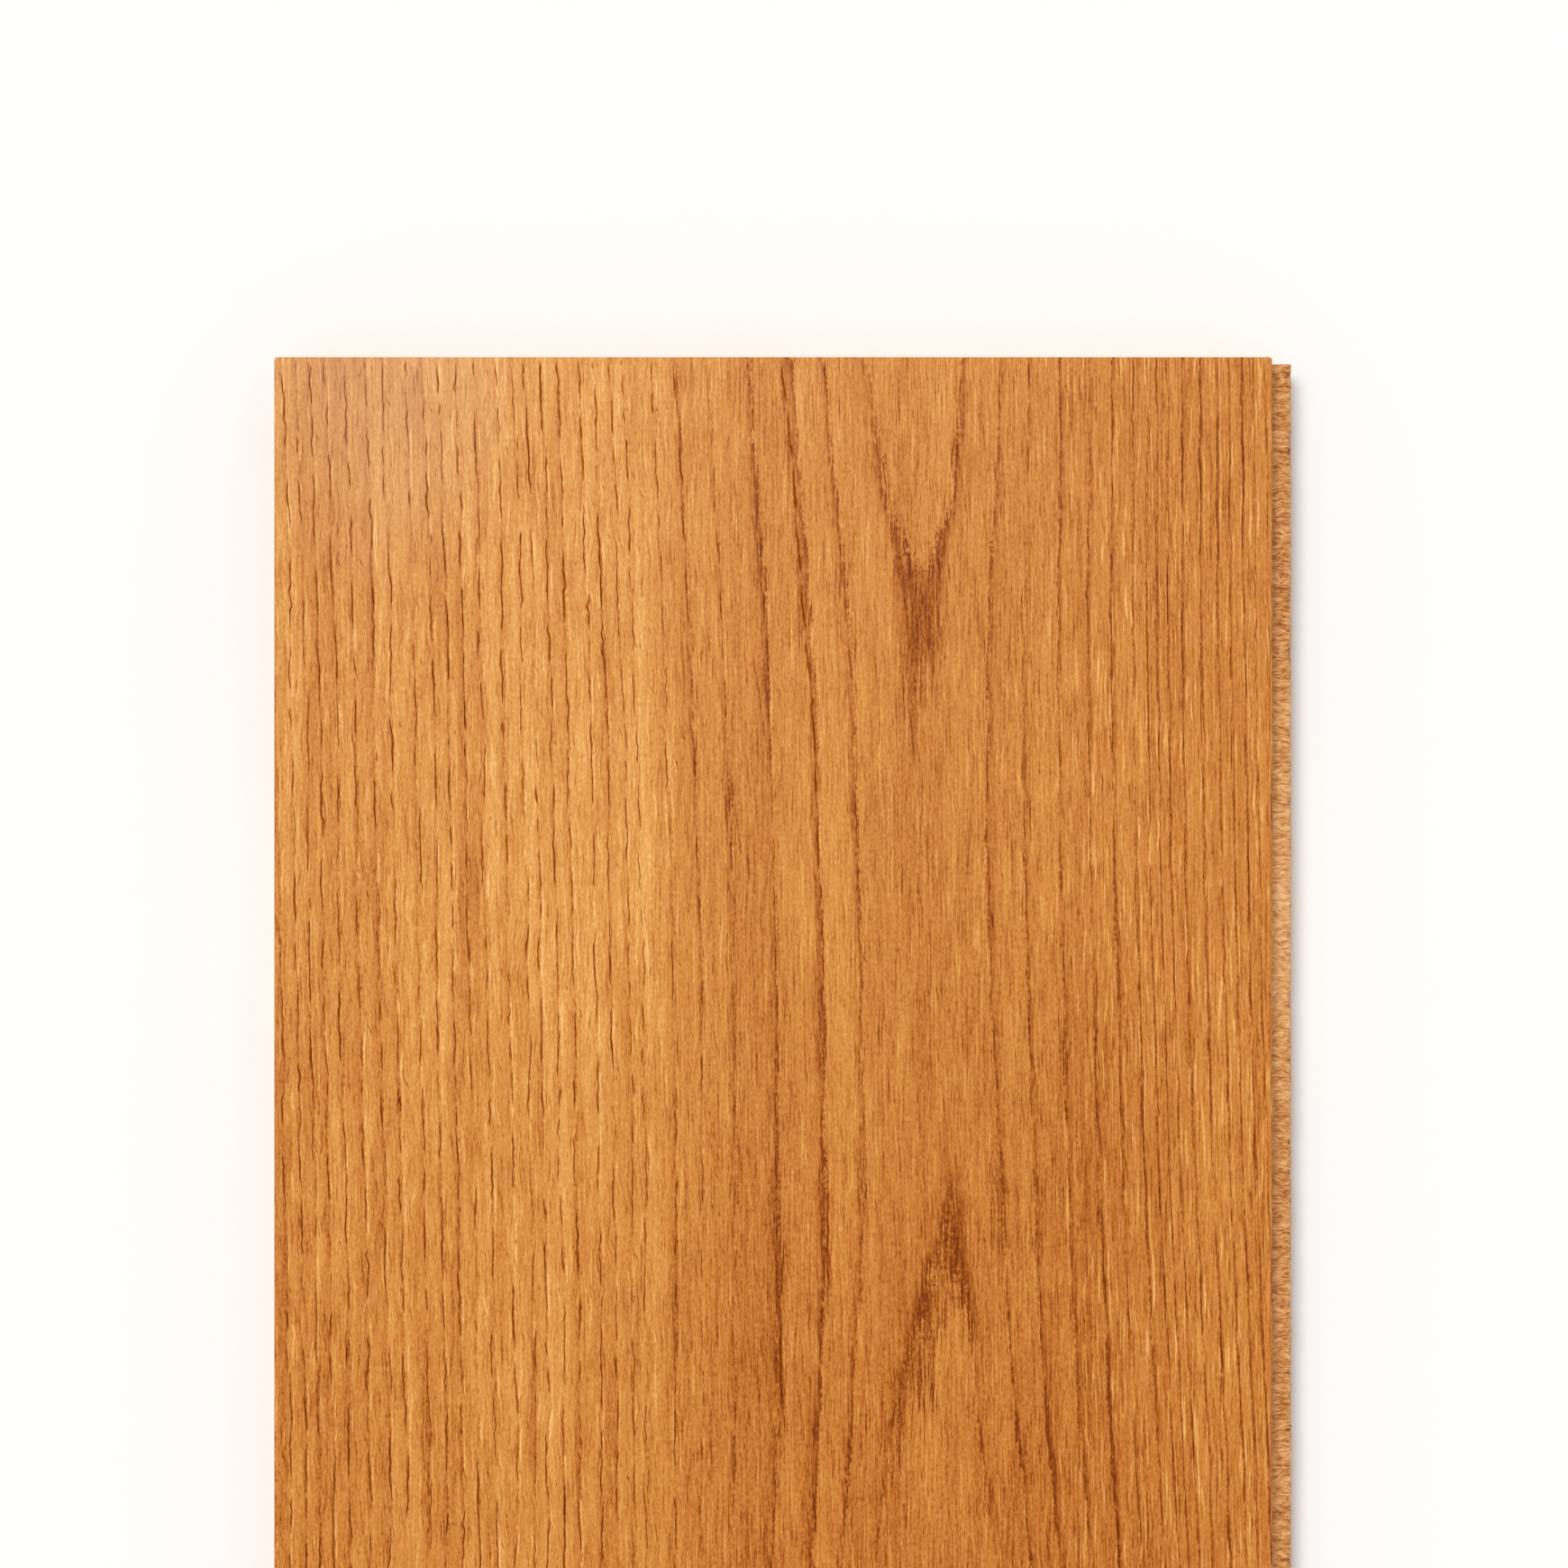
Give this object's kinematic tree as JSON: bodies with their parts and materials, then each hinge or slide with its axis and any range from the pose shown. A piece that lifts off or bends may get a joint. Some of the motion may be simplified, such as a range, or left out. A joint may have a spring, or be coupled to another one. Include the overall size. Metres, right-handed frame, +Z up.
{
  "type": "engineered oak floorboard",
  "caption": "Long flat engineered wood floorboard: oak face glued to a cross-grain core and a backing veneer, with a tongue on one long edge and a groove on the other.",
  "frame": {"origin": "on the underside, at the middle of the board's whole outline, tongue included", "axes": "+X across the board towards the tongue edge, +Y along the board, +Z up out of the oak face"},
  "size_m": [0.1944, 1.9, 0.014],
  "materials": {
    "oak_face": "honey-toned oak, brushed open grain, satin lacquer",
    "core_wood": "bare softwood, milled, grain across the board",
    "backing_wood": "bare softwood veneer, sanded, grain along the board"
  },
  "bodies": {
    "root": {"oak_wear_layer": "oak_face", "cross_grain_core": "core_wood", "backing_veneer": "backing_wood"}
  },
  "joints": []
}
